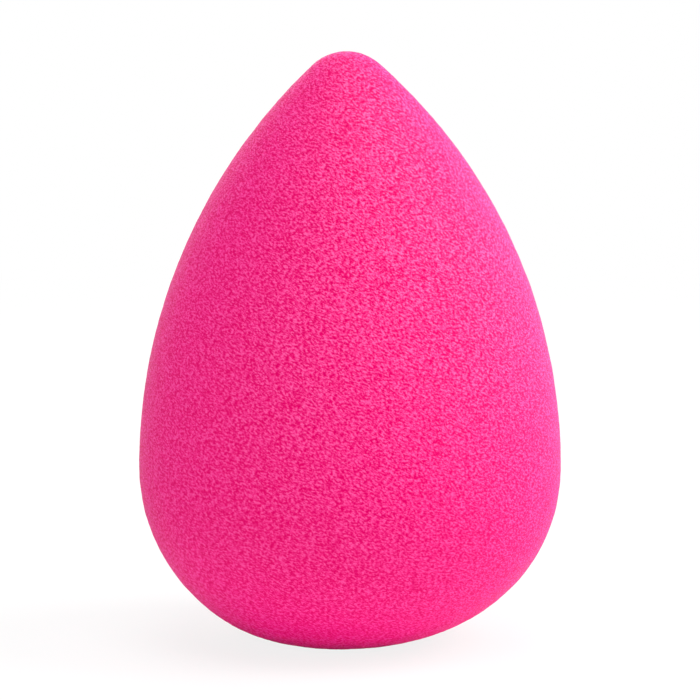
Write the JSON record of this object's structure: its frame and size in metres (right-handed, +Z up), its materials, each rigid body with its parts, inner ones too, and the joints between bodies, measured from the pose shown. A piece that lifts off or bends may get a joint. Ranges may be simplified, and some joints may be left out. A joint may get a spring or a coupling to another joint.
{
  "type": "makeup sponge",
  "caption": "Teardrop foam makeup sponge with a round base, a full belly and a blunt tip, for dabbing and blending cosmetics.",
  "frame": {"origin": "middle of the flat foot that the sponge stands on", "axes": "+Z up along the sponge's own axis, from the foot to the tip; X and Y are alike, because the form is turned about Z"},
  "size_m": [0.0428, 0.0428, 0.06],
  "materials": {
    "foam": "matte"
  },
  "bodies": {
    "root": {"foam_body": "foam"}
  },
  "joints": []
}
